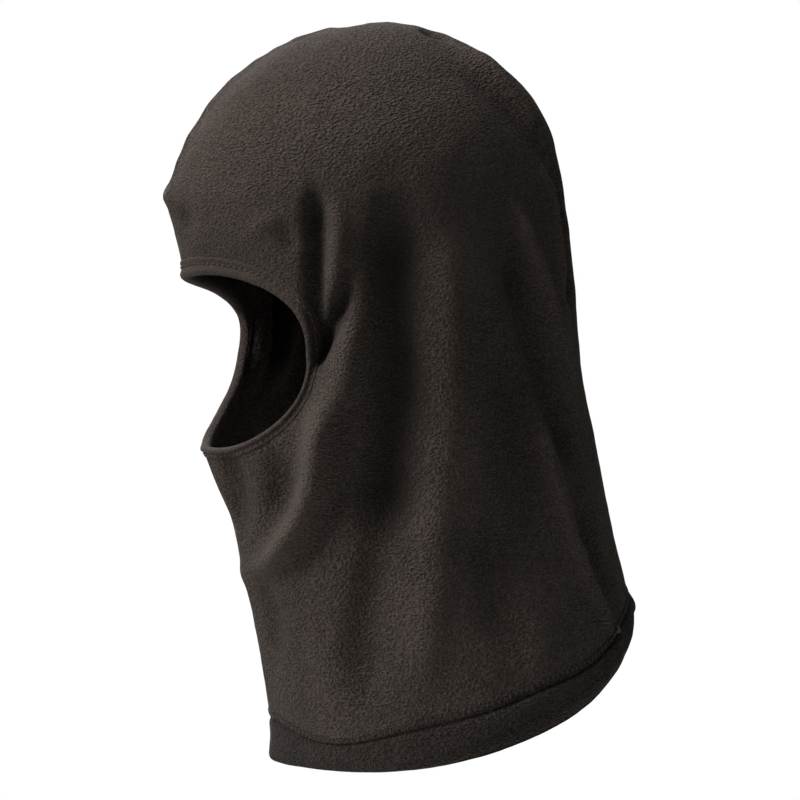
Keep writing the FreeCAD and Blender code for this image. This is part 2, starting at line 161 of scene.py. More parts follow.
# Side, places (front to back, height), height of the fold (negative: a valley), width, crispness (2 is soft).
FOLDS = [
    # the wearer's left: the valley behind the face opening and the ridges that fan from it
    (LEFT, [(-47, 10), (-45, -12), (-44, -30), (-43, -50), (-43, -70), (-46, -86), (-52, -102), (-62, -118)],
     -8.0, 4.4, 1.9),
    (LEFT, [(-46, -58), (-48, -80), (-54, -98), (-64, -112)], -4.0, 4.5, 2.0),
    (LEFT, [(-36, 2), (-35, -26), (-37, -46), (-40, -62)], 3.6, 3.8, 1.8),
    (LEFT, [(-28, -38), (-31, -50), (-36, -64), (-42, -78), (-50, -92)], -9.5, 3.4, 1.9),
    (LEFT, [(-24, -44), (-25, -62), (-29, -84), (-33, -106), (-36, -122)], 6.0, 6.5, 1.7),
    (LEFT, [(-37, -92), (-39, -120), (-41, -146), (-47, -166), (-56, -182), (-67, -191)], 12.5, 7.0, 1.8),
    (LEFT, [(-62, -122), (-55, -142), (-58, -166)], -4.5, 7.0, 2.0),
    (LEFT, [(-8, 8), (-5, -22), (-2, -50), (-1, -76), (-2, -102), (-4, -128), (-8, -154), (-13, -182)],
     -13.5, 14.5, 2.0),
    (LEFT, [(-3, -50), (-4, -90), (-9, -130), (-16, -176)], -1.6, 14.0, 2.0),
    (LEFT, [(16, -16), (18, -60), (16, -104), (12, -150)], 1.4, 9.0, 2.0),
    (LEFT, [(14, -136), (13, -176), (10, -214), (6, -250)], 4.0, 9.0, 2.0),
    (LEFT, [(50, -56), (57, -110), (64, -155), (80, -216)], -4.5, 15.0, 2.0),
    (LEFT, [(57, 0), (68, -26), (79, -50), (90, -77), (99, -97)], 6.0, 3.0, 1.7),
    (LEFT, [(50, -16), (62, -50), (78, -92), (98, -144)], -7.0, 7.5, 2.0),
    (LEFT, [(72, -104), (84, -150), (98, -188), (116, -226)], 4.6, 4.0, 1.8),
    (LEFT, [(92, -146), (110, -190), (124, -218)], -5.0, 7.0, 2.0),
    (LEFT, [(74, 24), (80, 2), (86, -24), (93, -54)], 4.5, 4.0, 2.0),
    (LEFT, [(86, 24), (92, 2), (97, -24), (102, -60)], -11.5, 7.0, 2.0),
    (LEFT, [(28, 79), (44, 71), (58, 57), (74, 38), (85, 18)], 7.0, 6.5, 1.9),
    (LEFT, [(28, 66), (44, 57), (58, 42), (70, 22)], -2.6, 7.0, 2.0),
    (LEFT, [(-70, -8), (-64, -18)], 1.6, 8.0, 2.0),
    (LEFT, [(-60, -12), (-54, -30)], -2.0, 4.0, 2.0),
    (LEFT, [(-101, -2), (-97, -18)], -2.4, 5.0, 2.0),
    (LEFT, [(-80, -122), (-73, -146), (-68, -174)], -5.5, 8.0, 2.0),
    (LEFT, [(-62, -186), (-56, -208), (-52, -240)], -4.0, 8.0, 2.0),
    (LEFT, [(-12, -164), (-16, -196), (-18, -228), (-16, -258)], -6.0, 10.0, 2.0),
    (LEFT, [(42, -156), (48, -196), (54, -238)], -5.6, 14.0, 2.0),
    (LEFT, [(-36, -210), (-30, -250)], 1.8, 10.0, 2.0),
    # the wearer's right: the same pulls from the opening, lying differently
    (RIGHT, [(-50, -4), (-44, -34), (-42, -58), (-48, -86), (-56, -104)], -6.0, 6.0, 2.0),
    (RIGHT, [(-34, -24), (-31, -52), (-34, -80)], 5.5, 5.0, 1.7),
    (RIGHT, [(-20, -40), (-24, -62), (-32, -84), (-46, -106)], -6.5, 5.0, 1.8),
    (RIGHT, [(-48, -110), (-40, -140), (-42, -166), (-56, -192)], 4.2, 7.0, 1.6),
    (RIGHT, [(-10, -10), (2, -50), (0, -96), (-10, -140)], -6.4, 13.0, 2.0),
    (RIGHT, [(20, -34), (26, -86), (20, -150), (8, -214)], 3.8, 14.0, 2.0),
    (RIGHT, [(40, -70), (54, -130), (70, -196)], -4.4, 15.0, 2.0),
    (RIGHT, [(60, -14), (78, -54), (94, -92)], 3.2, 4.5, 1.5),
    (RIGHT, [(72, -70), (90, -120), (108, -170)], -4.6, 8.0, 2.0),
    (RIGHT, [(80, -140), (96, -184), (112, -214)], 3.0, 5.0, 1.5),
    (RIGHT, [(28, 70), (52, 58), (76, 34)], 2.4, 7.0, 1.7),
    (RIGHT, [(-66, -130), (-58, -160)], -2.6, 7.0, 2.0),
    (RIGHT, [(-44, -206), (-36, -248)], 2.0, 10.0, 2.0),
    (RIGHT, [(-100, -4), (-96, -18)], -2.0, 5.0, 2.0),
    # the crown, seen along its top
    (LEFT, [(-20, 88), (-10, 90), (-2, 91)], -4.0, 8.0, 2.0),
    (LEFT, [(22, 88), (32, 85), (42, 81)], -4.5, 8.0, 2.0),
    (RIGHT, [(-30, 84), (-16, 88)], -1.6, 8.0, 2.0),
    (RIGHT, [(30, 84), (46, 76)], -2.2, 8.0, 2.0),
]


def on_side(y, z, side):
    """The place on one side of the smooth form, seen from that side."""
    v = np.where(z > 0, RISE * np.arcsin(np.clip(z / RISE, 0, 1)), z)
    front, back = base(np.array([0.0]), v)[:, 1], base(np.array([np.pi]), v)[:, 1]
    middle, half = (front + back) / 2, (back - front) / 2
    u = side * np.arccos(np.clip((middle - y) / np.maximum(half, 1e-6), -1, 1))
    return base(u, v)


def laid(fold):
    side, places, height, width, crisp = fold
    knots = np.array(places, float)
    run = np.concatenate([[0], np.cumsum(np.linalg.norm(np.diff(knots, axis=0), axis=1))])
    at = np.linspace(0, run[-1], max(3, 5 * (len(knots) - 1)))
    line = on_side(*(curve(at, run, knots[:, k]) for k in (0, 1)), side)
    return line, height, width, crisp, run[-1]


LAID = [laid(fold) for fold in FOLDS]
CREST = 1.3                                     # how round the crest of the sharpest fold is
LATTICE = np.random.default_rng(7).uniform(-1, 1, (24, 24, 24))


def drift(p, size, shift=0.0):
    """Smooth unevenness of about that size in millimetres, from -1 to 1."""
    q = p / size + shift
    cell = np.floor(q).astype(int)
    f = q - cell
    f = f * f * (3 - 2 * f)
    total = 0
    for corner in np.ndindex(2, 2, 2):
        i, j, k = ((cell + corner) % 24).T
        part = np.where(corner, f, 1 - f)
        total = total + LATTICE[i, j, k] * part[:, 0] * part[:, 1] * part[:, 2]
    return total


def fold_lift(p):
    total = np.zeros(len(p))
    for line, height, width, crisp, length in LAID:
        reach = 3 * width
        near = np.all((p > line.min(0) - reach) & (p < line.max(0) + reach), axis=1)
        q = p[near]
        if not len(q):
            continue
        step = line[1:] - line[:-1]
        t = np.clip(((q[:, None] - line[:-1]) * step).sum(-1) / (step ** 2).sum(-1), 0, 1)
        gap = q[:, None] - line[:-1] - t[..., None] * step
        far = np.sqrt((gap ** 2).sum(-1))
        best = far.argmin(1)
        far = np.sqrt(far ** 2 + CREST ** 2) - CREST
        row = np.arange(len(q))
        along = (best + t[row, best]) / len(step) * length
        end = min(0.38 * length, 16.0 + 1.6 * width)
        fade = ease(along / end) * ease((length - along) / end)
        grow = 0.65 + 0.35 * fade
        reached = far[row, best]
        across = np.exp(-((reached / (width * grow)) ** crisp)) * ease(1.6 - reached / (2.0 * width))
        total[near] += height * (0.12 + 0.88 * fade) * across
    return total


def seam_lift(p):
    """The crown and back seam: a groove, the cloth rolling into it, and its puckers."""
    x, y, z = p.T
    arc = np.where(z > 0, 100 * np.arctan2(z, -y), np.where(y > 0, 100 * np.pi - z, 0))
    there = np.where(y > 0, 1.0, ease((z + 5) / 8))
    pucker = 0.45 * np.sin(arc / 2.6 + 1.2 * np.sin(arc / 17)) + 0.35 * np.sin(arc / 4.7 + 2)
    calm = 1 - 0.8 * ease(1 - np.abs(z + 155) / 40) * (y > 0)
    return there * (
        -1.3 * np.exp(-((x / 1.5) ** 2))
        + 0.7 * np.exp(-(((np.abs(x) - 4.0) / 2.6) ** 2))
        + 0.6 * calm * pucker * np.exp(-((x / 8) ** 2))
    )


def front_lift(p):
    """The centre front: a soft fold, and the forehead's corner where the crown seam ends."""
    x, y, z = p.T
    front = ease((-y - 20) / 20)
    return front * (
        1.0 * np.exp(-((x / 5) ** 2)) * ease((-z - 6) / 20)
        + 2.6 * np.exp(-((np.abs(x) / 8) ** 1.5) - (np.abs(z - 1) / 7) ** 1.4)
        - 3.4 * np.exp(-((x / 13) ** 2) - ((z + 21) / 11) ** 2)
    ) + (y > 0) * 3.2 * np.exp(-((np.abs(x) / 8) ** 1.3)) * ease((-z - 180) / 35)


def relief(p):
    """How far the surface stands off the smooth form; the elastic keeps the rim taut."""
    slack = RIM_SLACK + (1 - RIM_SLACK) * ease((rim_level(p) - 1) * 3.2)
    return (
        slack * fold_lift(p) + seam_lift(p) + front_lift(p)
        + 0.9 * drift(p, 42.0) + 0.35 * drift(p, 15.0, 5.0) + 0.14 * drift(p, 5.0, 11.0)
    )


def folded(u, v):
    """The hood's outer surface."""
    p = base(u, v)
    return p + facing(u, v, base) * relief(p)[:, None]


def skin(u, v, lift):
    """A place above the hood's outer surface."""
    return folded(u, v) + facing(u, v, folded) * np.asarray(lift)[:, None]


def hem_run(u, up):
    """The run v at that angle, some millimetres up from the hem's bottom line."""
    v = np.full_like(u, -240.0)
    for _ in range(12):
        y = base(u, v)[:, 1]
        tucked = 1 - 0.32 * np.exp(-(((y + 30) / 24) ** 2)) * ease(np.sin(u) / 0.5)
        tucked = tucked - 0.25 * ease((y - 65) / 45)
        radius = HEM_RADIUS - up * tucked + HEM_SAG * np.exp(-(((y - 100) / 38) ** 2))
        v = HEM_CENTRE[1] - np.sqrt(radius ** 2 - (y - HEM_CENTRE[0]) ** 2)
    return v


# ---------------------------------------------------------------- the face opening


def rim_height(x):
    return RIM_HIGH * (1 + RIM_LEAN * np.tanh(x / 30))


def rim_wide(x, up):
    side = ease(0.5 + x / 40)
    wide = RIM_WIDE[RIGHT] + (RIM_WIDE[LEFT] - RIM_WIDE[RIGHT]) * side
    return wide * (1 + (RIM_TAPER[RIGHT] + (RIM_TAPER[LEFT] - RIM_TAPER[RIGHT]) * side) * up)


def rim_level(p, grow=0.0):
    """Under 1 inside the face opening, 1 on its rim, more outside it."""
    x, y, z = p.T
    up = (z - RIM_MIDDLE) / (rim_height(x) + grow)
    across = np.abs(x) / (rim_wide(x, np.clip(up, -1, 1)) + 0.7 * grow)
    power = np.where(up > 0, RIM_TOP, RIM_BASE)
    return np.where(y < 0, np.abs(up) ** power + across ** power, 9.0)


def rim_line(count):
    """Even steps round the rim: angles u, runs v."""
    a = np.linspace(0, TURN, 2400, endpoint=False)
    c, s = np.cos(a), np.sin(a)
    power = np.where(c > 0, RIM_TOP, RIM_BASE)
    up = np.sign(c) * np.abs(c) ** (2 / power)
    across = np.sign(s) * np.abs(s) ** (2 / power)
    x = rim_wide(60 * across, up) * across
    z = RIM_MIDDLE + rim_height(x) * up
    low, high = np.full_like(x, -np.pi / 2), np.full_like(x, np.pi / 2)
    for _ in range(40):
        middle = (low + high) / 2
        small = base(middle, z)[:, 0] < x
        low, high = np.where(small, middle, low), np.where(small, high, middle)
    u = (low + high) / 2
    p = base(u, z)
    run = np.concatenate([[0], np.cumsum(np.linalg.norm(np.diff(np.vstack([p, p[:1]]), axis=0), axis=1))])
    at = np.linspace(0, run[-1], count, endpoint=False)
    return np.interp(at, run, np.append(u, u[0])), np.interp(at, run, np.append(z, z[0])), run[-1]


def outwards(u, v):
    """For each place on a closed line, the change of u and v one millimetre away from its inside."""
    across = (base(u + 0.005, v) - base(u - 0.005, v)) / 0.01
    up = (base(u, v + 0.5) - base(u, v - 0.5)) / 1.0
    p = base(u, v)
    ahead = unit(np.roll(p, -2, 0) - np.roll(p, 2, 0))
    away = unit(np.cross(ahead, facing(u, v, base)))
    away *= np.sign((away * (p - p.mean(0))).sum(1))[:, None]
    aa, bb, ab = (across ** 2).sum(1), (up ** 2).sum(1), (across * up).sum(1)
    pa, pb = (away * across).sum(1), (away * up).sum(1)
    full = aa * bb - ab ** 2
    return np.stack([(pa * bb - pb * ab) / full, (pb * aa - pa * ab) / full])


# ---------------------------------------------------------------- meshes


def mesh_piece(name, points, faces, relief_values=None):
    mesh = bpy.data.meshes.new(name)
    mesh.from_pydata((np.asarray(points) * MM).tolist(), [], [tuple(int(i) for i in f) for f in faces])
    mesh.polygons.foreach_set("use_smooth", np.ones(len(mesh.polygons), bool))
    # the relief is kept on the points so the fleece can paint shade into fold valleys and light onto fold
    # crests
    if relief_values is not None:
        layer = mesh.attributes.new("relief", "FLOAT", "POINT")
        layer.data.foreach_set("value", np.asarray(relief_values, np.float32))
    mesh.update()
    piece = bpy.data.objects.new(name, mesh)
    bpy.context.scene.collection.objects.link(piece)
    return piece


def applied(piece):
    """The piece with its modifiers made part of its mesh."""
    bpy.context.view_layer.update()
    graph = bpy.context.evaluated_depsgraph_get()
    mesh = bpy.data.meshes.new_from_object(piece.evaluated_get(graph))
    piece.modifiers.clear()
    piece.data = mesh
    return piece


def grid_faces(rows, columns, close_rows=False, close_columns=True):
    """Quads between rows of points; a closed direction joins its last to its first."""
    r = np.arange(rows if close_rows else rows - 1)
    c = np.arange(columns if close_columns else columns - 1)
    i, j = np.meshgrid(r, c, indexing="ij")
    up, on = (i + 1) % rows, (j + 1) % columns
    corners = [i * columns + j, i * columns + on, up * columns + on, up * columns + j]
    return np.stack(corners, -1).reshape(-1, 4)


def crowded(t):
    """Angles for even steps t, closer together at the face and the back."""
    return TURN * t - 0.15 * np.sin(2 * TURN * t)


def hood():
    """The fleece: rings up the tube and the crown, and a square grid over its top."""
    columns, tube_rows, crown_rows, ring = 280, 122, 34, 35
    t = np.arange(columns) / columns
    u = crowded(t)
    foot = hem_run(u, 21.5)
    us, vs = [], []
    for k in range(tube_rows, 0, -1):
        us.append(u)
        vs.append(foot * k / tube_rows)
    top = RISE * math.pi / 4
    for k in range(crown_rows + 1):
        us.append(u)
        vs.append(np.full(columns, top * k / crown_rows))
    starts = {ring: (len(us) - 1) * columns}
    total = len(us) * columns
    for k in range(ring - 1, 0, -1):
        starts[k] = total
        us.append(crowded(np.arange(8 * k) / (8 * k)))
        vs.append(np.full(8 * k, RISE * (math.pi / 2 - math.pi / 4 * k / ring)))
        total += 8 * k
    starts[0] = total
    us.append(np.zeros(1))
    vs.append(np.full(1, RISE * math.pi / 2))
    u, v = np.concatenate(us), np.concatenate(vs)

    def number(i, j):
        k = max(abs(i), abs(j))
        if k == 0:
            return starts[0]
        if j == -k:
            place = i
        elif i == k:
            place = 2 * k + j
        elif j == k:
            place = 4 * k - i
        else:
            place = 6 * k - j
        return starts[k] + place % (8 * k)

    rings = tube_rows + crown_rows + 1
    faces = grid_faces(rings, columns)
    cap = [
        (number(i, j), number(i + 1, j), number(i + 1, j + 1), number(i, j + 1))
        for i in range(-ring, ring) for j in range(-ring, ring)
    ]
    faces = np.vstack([faces, np.array(cap)])
    smooth = base(u, v)
    gone = rim_level(smooth[faces].mean(1), 2.6) < 1
    faces = faces[~gone]
    used = np.unique(faces)
    renumber = np.full(len(u), -1)
    renumber[used] = np.arange(len(used))
    points = folded(u[used], v[used])
    piece = mesh_piece("hood_fleece", points, renumber[faces], relief(smooth[used]))
    wall = piece.modifiers.new("wall", "SOLIDIFY")
    wall.thickness, wall.offset = CLOTH * MM, -1
    return applied(piece)


def swept(name, u, v, du, dv, section):
    """A band along a closed line on the hood: section is (distance from the line, lift)."""
    section = np.array(section, float)
    count, deep = len(u), len(section)
    uu = (u[:, None] + du[:, None] * section[:, 0]).ravel()
    vv = (v[:, None] + dv[:, None] * section[:, 0]).ravel()
    lift = np.tile(section[:, 1], count)
    points = skin(uu, vv, lift)
    return mesh_piece(name, points, grid_faces(count, deep, close_rows=True), relief(base(uu, vv)))


def rounded(corners, steps):
    """A closed smooth outline through corners."""
    corners = np.array(corners, float)
    n = len(corners)
    loop = np.vstack([corners[-2:], corners, corners[:3]])
    out = []
    for i in range(2, n + 2):
        p0, p1, p2, p3 = loop[i - 1], loop[i], loop[i + 1], loop[i + 2]
        for s in np.arange(steps) / steps:
            out.append(
                p1 + 0.5 * s * (p2 - p0 + s * (2 * p0 - 5 * p1 + 4 * p2 - p3 + s * (3 * (p1 - p2) + p3 - p0)))
            )
    return out


BINDING_SECTION = rounded([
    (9.3, -0.6), (9.0, 0.3), (8.1, 0.65), (6.9, 0.5), (5.6, 0.35), (4.7, 0.5), (3.6, 1.1), (2.2, 1.5),
    (0.8, 1.2), (-0.2, 0.5), (-0.5, -1.0), (0.0, -2.5), (1.3, -3.5), (4.0, -3.9), (6.6, -3.6), (8.4, -3.6),
    (9.0, -2.9), (9.1, -1.7),
], 3)


def tubes(name, paths, sides_of, radius, rounds=6):
    """Many short threads: paths are (thread, point, 3), sides_of the direction away from the cloth."""
    n, k = paths.shape[:2]
    ahead = unit(np.gradient(paths, axis=1))
    side = unit(np.cross(ahead, sides_of))
    above = np.cross(side, ahead)
    ends = np.ones(k)
    ends[0] = ends[-1] = 0.35
    turn = np.arange(rounds) / rounds * TURN
    ringed = (
        paths[:, :, None]
        + radius * ends[None, :, None, None]
        * (side[:, :, None] * np.cos(turn)[:, None] + above[:, :, None] * np.sin(turn)[:, None])
    )
    one = grid_faces(k, rounds)
    faces = [tuple(f + s * k * rounds) for s in range(n) for f in one]
    for s in range(n):
        first = s * k * rounds
        faces.append(tuple(first + np.arange(rounds)[::-1]))
        faces.append(tuple(first + (k - 1) * rounds + np.arange(rounds)))
    return mesh_piece(name, ringed.reshape(-1, 3), faces)


def stitches(u, v, lift):
    """Paths for tubes: arrays (thread, point) of places on the hood."""
    shape = u.shape
    points = skin(u.ravel(), v.ravel(), np.broadcast_to(lift, shape).ravel()).reshape(*shape, 3)
    out = facing(u.ravel(), v.ravel(), folded).reshape(*shape, 3)
    return points, out


def rim_share(v):
    """How wide the binding is, against its widest: it narrows at the sides and the base."""
    return 0.56 + 0.42 * ease((v - RIM_MIDDLE - 6) / 28)


def binding():
    u, v, _ = rim_line(560)
    du, dv = outwards(u, v) * rim_share(v)
    return swept("face_binding_cloth", u, v, du, dv, BINDING_SECTION)


def topstitch():
    u, v, length = rim_line(1680)
    du, dv = outwards(u, v) * rim_share(v)
    count = round(length / 3.2)
    t = (np.arange(count)[:, None] + np.linspace(-0.36, 0.36, 5)) / count * len(u)
    i = np.mod(np.round(t).astype(int), len(u))
    uu, vv = u[i] + du[i] * 6.0, v[i] + dv[i] * 6.0
    lift = 0.52 + np.array([-0.4, 0.12, 0.22, 0.12, -0.4])
    return tubes("face_topstitch_thread", *stitches(uu, vv, lift), 0.27)


def elastic():
    u, v, _ = rim_line(360)
    du, dv = outwards(u, v)
    section = rounded([(1.2, -0.4), (2.6, -0.5), (4.0, -1.2), (2.6, -1.9), (1.2, -2.0)], 2)
    return swept("face_elastic_cord", u, v, du, dv, section)


HEM_SECTION = [
    (26.2, -0.8), (25.9, -0.1), (25.2, 0.25), (24.2, 0.4), (23.2, 0.45), (22.2, 0.4), (21.4, 0.1),
    (20.8, -0.6), (20.4, -0.5), (20.0, -0.45), (19.5, 0.0), (18.8, 0.5), (17.7, 0.85), (16.3, 1.05),
    (14.4, 1.2), (12.2, 1.3), (10.0, 1.35), (7.8, 1.35), (5.8, 1.25), (4.2, 1.05), (2.9, 0.75),
    (1.8, 0.3), (0.9, -0.4), (0.3, -1.4), (0.1, -2.6), (0.3, -4.0), (1.0, -5.0), (2.2, -5.7),
    (3.8, -5.9), (6.2, -5.8), (9.4, -5.4), (12.8, -5.1), (16.0, -4.8), (18.6, -4.4), (20.2, -4.2),
    (21.6, -4.5), (23.2, -4.4), (24.4, -3.8), (25.0, -3.0), (25.4, -2.0),
]


def hem():
    count = 800
    u = np.arange(count) / count * TURN
    section = np.array(HEM_SECTION)
    deep = len(section)
    uu = np.repeat(u, deep)
    up, lift = np.tile(section[:, 0], count), np.tile(section[:, 1], count)
    vv = hem_run(uu, up)
    along = uu * ROUND
    mid_band = np.clip(1 - np.abs(up - 10) / 11, 0, 1) * (lift > 0)
    plump = 0.25 * np.sin(along / 9 + 2 * np.sin(along / 40)) * mid_band
    corner = 4.5 * np.exp(-((np.abs(uu - np.pi) * ROUND / 12) ** 1.4) - (up / 10) ** 2)
    brow = 4.0 * np.exp(-((np.minimum(uu, TURN - uu) / 0.4) ** 2) - (up / 9) ** 2)
    curl = -2.2 * np.exp(-((up / 6) ** 2)) * ease((base(uu, vv)[:, 1] + 10) / 50) * (lift > -1.5)
    points = skin(uu, vv, lift + plump + corner + brow + curl)
    faces = grid_faces(count, deep, close_rows=True)
    return mesh_piece("hem_band_fleece", points, faces, relief(base(uu, vv)))


def hem_bars(name, low, high, lift, pitch, radius, slant):
    count = round(590 / pitch)
    u = np.arange(count) / count * TURN
    uu = u[:, None] + np.linspace(-slant, slant, 5) / ROUND
    up = np.broadcast_to(np.linspace(low, high, 5), uu.shape)
    vv = hem_run(uu.ravel(), up.ravel()).reshape(uu.shape)
    return tubes(name, *stitches(uu, vv, np.asarray(lift)), radius)


def seam_path(count):
    """Places along the centre seam, from the forehead over the crown and down the back."""
    crown = RISE * math.pi / 2
    foot = hem_run(np.array([math.pi]), np.array([27.0]))[0]
    runs = np.linspace(3.0, 2 * crown - foot, count)
    over = runs > crown
    return np.where(over, math.pi, 0.0), np.where(over, 2 * crown - runs, runs), runs


ALLOWANCE_ROOT = 1.9                            # where the seam's edges leave the cloth


def inside_seam(u, v, runs, section):
    """A section (sideways, depth) at each place along the seam; deeper parts wave from side to side."""
    inward = facing(u, v, folded, 4.0)
    inward[:, 0] = 0
    inward = unit(inward)
    wave = 0.5 * np.sin(runs / 6.5 + np.sin(runs / 23))
    points = folded(u, v)[:, None] - inward[:, None] * section[:, 1][None, :, None]
    points[:, :, 0] = section[:, 0] + wave[:, None] * ((section[:, 1] - ALLOWANCE_ROOT) / 6)
    return points


def allowance():
    """The two edges of cloth that stand inside the hood along its seam."""
    count = 420
    u, v, runs = seam_path(count)
    section = np.array([
        (-2.0, ALLOWANCE_ROOT), (-2.3, 4.2), (-2.35, 6.6), (-1.9, 7.9), (-1.0, 8.2), (-0.1, 7.5), (0.1, 7.5),
        (1.0, 8.2), (1.9, 7.9), (2.35, 6.6), (2.3, 4.2), (2.0, ALLOWANCE_ROOT),
    ])
    points = inside_seam(u, v, runs, section)
    faces = capped(grid_faces(count, len(section)), count, len(section))
    return mesh_piece("seam_allowance_fleece", points.reshape(-1, 3), faces)


def capped(faces, rows, columns):
    """The faces of a tube of rows, closed at both ends."""
    first = tuple(range(columns))[::-1]
    last = tuple((rows - 1) * columns + i for i in range(columns))
    return [tuple(f) for f in faces] + [first, last]


def overlock():
    """Loops of thread round the seam's edges."""
    u, v, runs = seam_path(160)
    shape = np.array([
        (-2.75, 2.6), (-2.8, 5.0), (-2.7, 7.6), (-1.6, 8.75), (0, 8.9), (1.6, 8.75), (2.7, 7.6), (2.8, 5.0),
        (2.75, 2.6),
    ])
    along = unit(np.gradient(folded(u, v), axis=0))
    slant = np.linspace(-0.9, 0.9, len(shape))
    paths = inside_seam(u, v, runs, shape)
    paths[:, :, 1:] += along[:, None, 1:] * slant[None, :, None]
    return tubes("crown_back_overlock_thread", paths, np.broadcast_to(along[:, None], paths.shape), 0.27, 5)


def bartack(name, u0, v0, across, up, lift):
    """Close parallel bars across a seam."""
    rows = 6
    k = np.arange(rows) - (rows - 1) / 2
    t = np.linspace(-1, 1, 5)
    uu = u0 + (k[:, None] * 0.62 * up[0] + t[None] * across[0]) / ROUND
    vv = v0 + k[:, None] * 0.62 * up[1] + t[None] * across[1]
    return tubes(name, *stitches(uu, vv, lift + np.array([-0.5, 0.1, 0.25, 0.1, -0.5])), 0.36)


def label():
    low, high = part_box("care_label")
    wide, tall = (high.x - low.x) / MM / 2, (high.z - low.z) / MM
    y = (low.y + high.y) / 2 / MM
    rows, columns = 36, 26
    s, t = np.meshgrid(np.linspace(-1, 1, columns), np.linspace(0, 1, rows))
    bow = 0.5 * np.sin(t * 2.6) * (1 - 0.6 * s * s) + 0.25 * t * s
    front = np.stack([wide * s, y - 0.2 - bow, high.z / MM - tall * t], -1).reshape(-1, 3)
    piece = mesh_piece("care_label_tape", front, grid_faces(rows, columns, close_columns=False)[:, ::-1])
    wall = piece.modifiers.new("wall", "SOLIDIFY")
    wall.thickness, wall.offset = 0.4 * MM, 0
    return applied(piece)


def label_threads():
    low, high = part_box("label_stitching")
    y, z = low.y / MM + 0.1, (low.z + high.z) / 2 / MM
    wide = (high.x - low.x) / MM
    centre = low.x / MM + wide * (np.arange(6) + 0.5) / 6
    t = np.linspace(-1, 1, 5)
    paths = np.zeros((6, 5, 3))
    paths[:, :, 0] = centre[:, None] + 1.35 * t
    paths[:, :, 1] = y + np.array([0.35, 0.05, 0, 0.05, 0.35])
    paths[:, :, 2] = z + 0.12 * t
    out = np.broadcast_to(np.array([0, -1.0, 0]), paths.shape)
    return tubes("label_stitching_thread", paths, out, 0.22)


# ---------------------------------------------------------------- materials


def material(name, roughness, sheen=0.0, sheen_roughness=0.5, specular=0.3):
    made = bpy.data.materials.new(name)
    made.use_nodes = True
    nodes = made.node_tree.nodes
    shader = nodes["Principled BSDF"]
    shader.inputs["Roughness"].default_value = roughness
    shader.inputs["Sheen Weight"].default_value = sheen
    shader.inputs["Sheen Roughness"].default_value = sheen_roughness
    shader.inputs["Specular IOR Level"].default_value = specular
    return made, nodes, made.node_tree.links, shader


def noise(nodes, links, vector, scale, detail=2.0, roughness=0.5, distortion=0.0):
    made = nodes.new("ShaderNodeTexNoise")
    made.inputs["Scale"].default_value = scale
    made.inputs["Detail"].default_value = detail
    made.inputs["Roughness"].default_value = roughness
    made.inputs["Distortion"].default_value = distortion
    links.new(vector, made.inputs["Vector"])
    return made.outputs["Fac"]


def stretched(nodes, links, vector, scale, turn=(0, 0, 0)):
    made = nodes.new("ShaderNodeMapping")
    made.inputs["Scale"].default_value = scale
    made.inputs["Rotation"].default_value = turn
    links.new(vector, made.inputs["Vector"])
    return made.outputs["Vector"]


def ramp(nodes, links, factor, stops):
    made = nodes.new("ShaderNodeValToRGB")
    while len(made.color_ramp.elements) < len(stops):
        made.color_ramp.elements.new(0.5)
    for element, (place, colour) in zip(made.color_ramp.elements, stops):
        element.position = place
        element.color = (*colour, 1) if hasattr(colour, "__len__") else (colour, colour, colour, 1)
    links.new(factor, made.inputs["Fac"])
    return made.outputs["Color"]


def maths(nodes, links, operation, a, b):
    made = nodes.new("ShaderNodeMath")
    made.operation = operation
    for socket, value in zip(made.inputs, (a, b)):
        if isinstance(value, (int, float)):
            socket.default_value = value
        else:
            links.new(value, socket)
    return made.outputs["Value"]


def mixed(nodes, links, factor, a, b, blend="MIX"):
    made = nodes.new("ShaderNodeMix")
    made.data_type, made.blend_type = "RGBA", blend
    for socket, value in ((made.inputs[0], factor), (made.inputs[6], a), (made.inputs[7], b)):
        if isinstance(value, (int, float)):
            socket.default_value = value
        elif isinstance(value, tuple):
            socket.default_value = (*value, 1)
        else:
            links.new(value, socket)
    return made.outputs[2]


def bumped(nodes, links, shader, height, distance, strength=1.0):
    made = nodes.new("ShaderNodeBump")
    made.inputs["Distance"].default_value = distance
    made.inputs["Strength"].default_value = strength
    links.new(height, made.inputs["Height"])
    links.new(made.outputs["Normal"], shader.inputs["Normal"])


